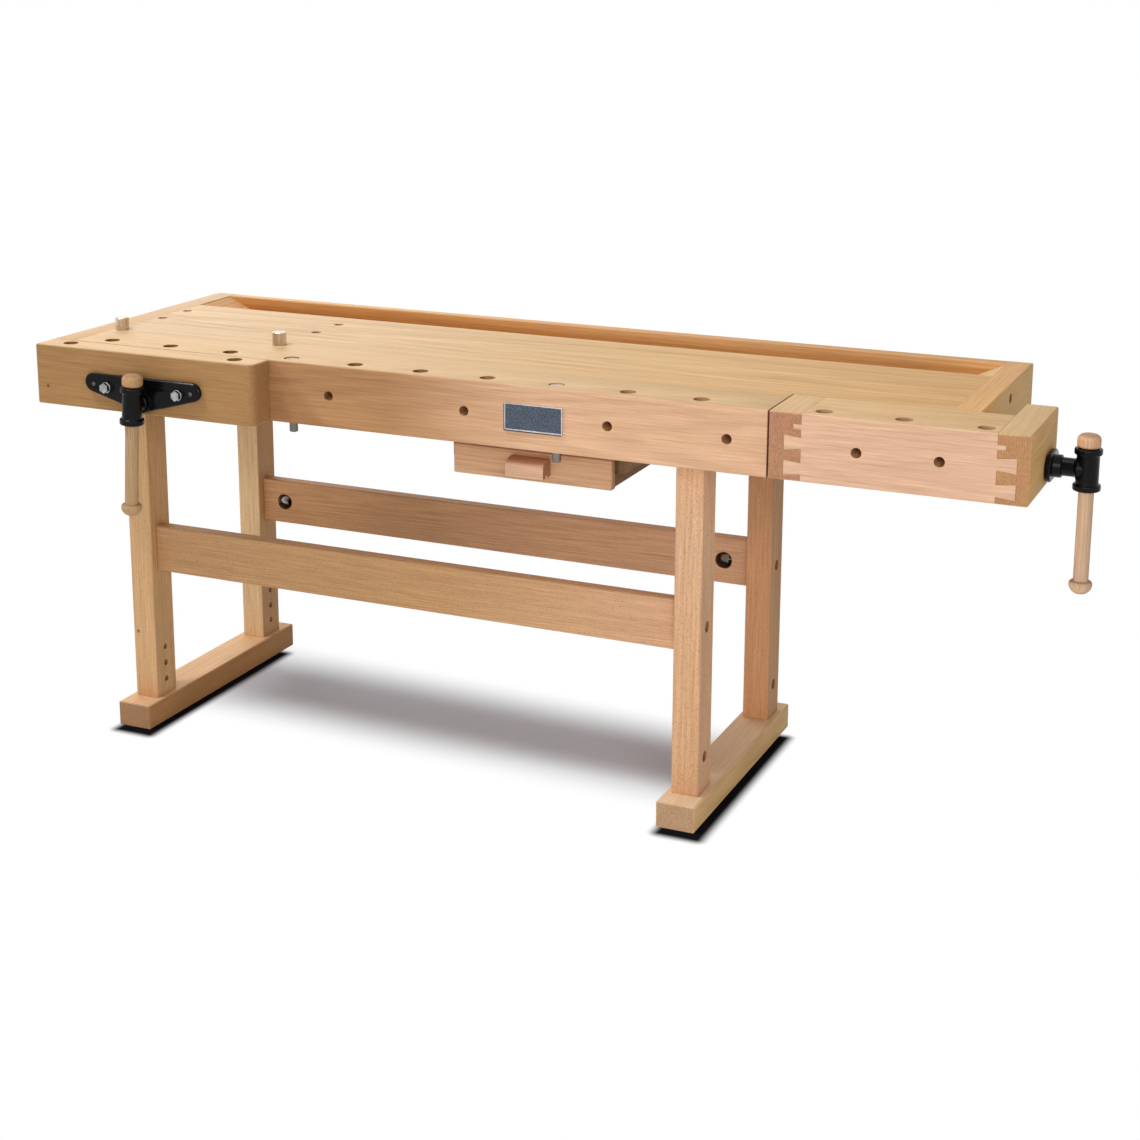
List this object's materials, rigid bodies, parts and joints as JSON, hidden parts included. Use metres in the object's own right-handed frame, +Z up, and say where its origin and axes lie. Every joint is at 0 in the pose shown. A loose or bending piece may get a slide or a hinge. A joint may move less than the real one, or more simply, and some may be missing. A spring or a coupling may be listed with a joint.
{
  "type": "woodworking bench with vises",
  "caption": "Beech joiner's bench with a front vise, a dovetailed sliding tail vise, rows of dog holes, a tool tray along the back, a small drawer and a trestle base.",
  "frame": {"origin": "on the floor, under the middle of the bounding box", "axes": "+X along the bench towards the tail vise, +Y from the front vise to the back, +Z up"},
  "size_m": [2.144, 0.7696, 0.8972],
  "materials": {
    "beech": "oiled",
    "black_iron": "gloss black enamel on castings",
    "zinc": "zinc plated",
    "steel": "turned"
  },
  "bodies": {
    "bench_frame": {"front_beam": "beech", "bench_plate": "beech", "end_cap_left": "beech", "end_cap_right": "beech", "end_cap_bolt_left": "zinc", "end_cap_bolt_right": "zinc", "back_rail": "beech", "tray_floor": "beech", "tray_ramp_left": "beech", "tray_ramp_right": "beech", "foot_left": "beech", "foot_right": "beech", "leg_left_front": "beech", "leg_left_rear": "beech", "leg_right_front": "beech", "leg_right_rear": "beech", "top_bearer_left": "beech", "top_bearer_right": "beech", "stretcher_front": "beech", "stretcher_rear": "beech", "stretcher_bolt_left_front": "zinc", "stretcher_bolt_left_rear": "zinc", "stretcher_bolt_right_front": "zinc", "stretcher_bolt_right_rear": "zinc", "front_nut_plate": "black_iron", "tail_nut": "black_iron", "drawer_hanger_left": "beech", "drawer_hanger_right": "beech"},
    "front_vise_jaw": {"front_jaw": "beech", "front_flange": "black_iron", "guide_rod_left": "steel", "guide_rod_right": "steel", "guide_bolt_left": "zinc", "guide_bolt_right": "zinc"},
    "front_vise_screw": {"front_screw": "steel", "front_tee_head": "black_iron"},
    "front_vise_handle": {"front_handle": "beech", "front_handle_knob": "beech"},
    "tail_vise_carriage": {"tail_front_board": "beech", "tail_inner_cheek": "beech", "tail_end_block": "beech", "tail_core_board": "beech", "tail_guide_rod": "steel", "tail_flange": "black_iron"},
    "tail_vise_screw": {"tail_screw": "steel", "tail_tee_head": "black_iron"},
    "tail_vise_handle": {"tail_handle": "beech", "tail_handle_knob": "beech"},
    "drawer": {"drawer_front": "beech", "drawer_side_left": "beech", "drawer_side_right": "beech", "drawer_back": "beech", "drawer_bottom": "beech", "drawer_pull": "beech"},
    "dog_in_row_left": {"dog_row_left": "steel"},
    "dog_in_row_right": {"dog_row_right": "steel"},
    "dog_on_top_left": {"dog_top_left": "steel"},
    "dog_on_top_right": {"dog_top_right": "steel"}
  },
  "joints": [
    {"name": "front_jaw_slide", "type": "slide", "parent": "bench_frame", "child": "front_vise_jaw", "axis": [0, -1, 0], "range_m": [0, 0.2]},
    {"name": "front_screw_turn", "type": "hinge", "parent": "front_vise_jaw", "child": "front_vise_screw", "pos_m": [-0.804, -0.31675, 0.773], "axis": [0, -1, 0], "range_deg": [-5, 12005]},
    {"name": "front_handle_slide", "type": "slide", "parent": "front_vise_screw", "child": "front_vise_handle", "axis": [0.061, 0, 0.9981], "range_m": [0, 0.1685]},
    {"name": "tail_vise_slide", "type": "slide", "parent": "bench_frame", "child": "tail_vise_carriage", "axis": [1, 0, 0], "range_m": [-0.0025, 0.17]},
    {"name": "tail_screw_turn", "type": "hinge", "parent": "tail_vise_carriage", "child": "tail_vise_screw", "pos_m": [0.978, -0.07725, 0.778], "axis": [1, 0, 0], "range_deg": [-155, 10205]},
    {"name": "tail_handle_slide", "type": "slide", "parent": "tail_vise_screw", "child": "tail_vise_handle", "axis": [0, 0, 1], "range_m": [0, 0.1685]},
    {"name": "drawer_slide", "type": "slide", "parent": "bench_frame", "child": "drawer", "axis": [0, -1, 0], "range_m": [0, 0.25]},
    {"name": "dog_row_left_lift", "type": "slide", "parent": "bench_frame", "child": "dog_in_row_left", "axis": [0, 0, 1], "range_m": [0, 0.06]},
    {"name": "dog_row_right_lift", "type": "slide", "parent": "bench_frame", "child": "dog_in_row_right", "axis": [0, 0, 1], "range_m": [0, 0.06]},
    {"name": "dog_top_left_lift", "type": "slide", "parent": "bench_frame", "child": "dog_on_top_left", "axis": [0, 0, 1], "range_m": [0, 0.1]},
    {"name": "dog_top_right_lift", "type": "slide", "parent": "bench_frame", "child": "dog_on_top_right", "axis": [0, 0, 1], "range_m": [0, 0.1]}
  ],
  "couplings": [
    {"joint": "front_screw_turn", "follows": "front_jaw_slide", "rad_per_m": 1047.2},
    {"joint": "tail_screw_turn", "follows": "tail_vise_slide", "rad_per_m": 1047.2}
  ]
}
